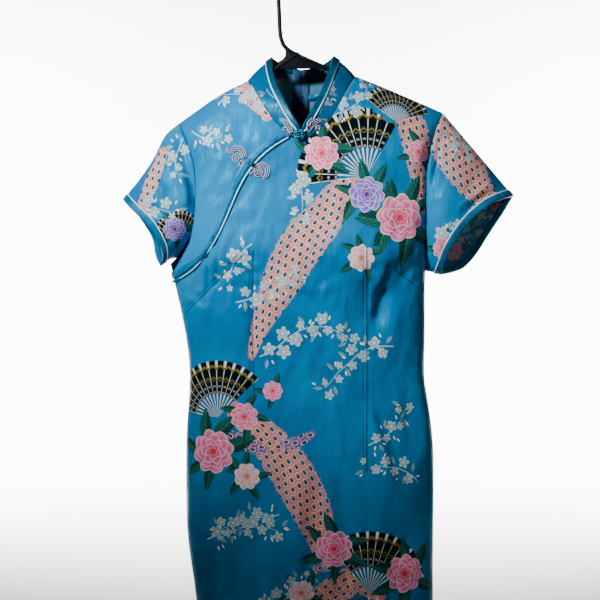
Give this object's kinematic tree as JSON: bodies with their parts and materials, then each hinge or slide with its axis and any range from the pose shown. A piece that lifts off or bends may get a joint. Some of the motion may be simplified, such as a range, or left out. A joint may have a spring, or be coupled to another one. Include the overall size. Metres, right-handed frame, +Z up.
{
  "type": "cheongsam dress on a hanger",
  "caption": "Short-sleeved turquoise satin cheongsam with mandarin collar, slanted placket, frog fastenings and a back zip, hanging on a black plastic hanger.",
  "frame": {"origin": "where the rail carries the hanger: the underside of the hook's arch, at the dress's mid depth", "axes": "+Z up, +X to the right seen from the front, +Y from the front to the back of the dress"},
  "size_m": [0.5875, 0.1145, 1.1963],
  "materials": {
    "satin": "printed satin",
    "binding": "satin",
    "piping": "satin cord",
    "cord": "satin cord",
    "knot": "satin cord",
    "zip": "woven",
    "zip_metal": "satin",
    "hanger": "gloss"
  },
  "bodies": {
    "dress": {"front_main": "satin", "front_underlap": "satin", "back_left": "satin", "back_right": "satin", "sleeve_left": "satin", "sleeve_right": "satin", "collar_left": "satin", "collar_right": "satin", "collar_left_binding": "binding", "collar_right_binding": "binding", "sleeve_left_binding": "binding", "sleeve_right_binding": "binding", "placket_binding": "binding", "collar_left_piping": "piping", "collar_right_piping": "piping", "sleeve_left_piping": "piping", "sleeve_right_piping": "piping", "placket_piping": "piping", "frog_chest_upper": "cord", "frog_chest_lower": "cord", "frog_collar_left": "cord", "frog_collar_right": "cord", "frog_chest_knot": "cord", "frog_collar_knot": "knot", "zip_tape_left": "zip", "zip_tape_right": "zip", "zip_slider": "zip_metal", "hanger": "hanger"},
    "zip_pull": {"zip_pull": "zip_metal"}
  },
  "joints": [
    {"name": "zip_pull_hinge", "type": "hinge", "parent": "dress", "child": "zip_pull", "pos_m": [0.0098, 0.04322, -0.14575], "axis": [1, 0, 0], "range_deg": [0, 150]}
  ]
}
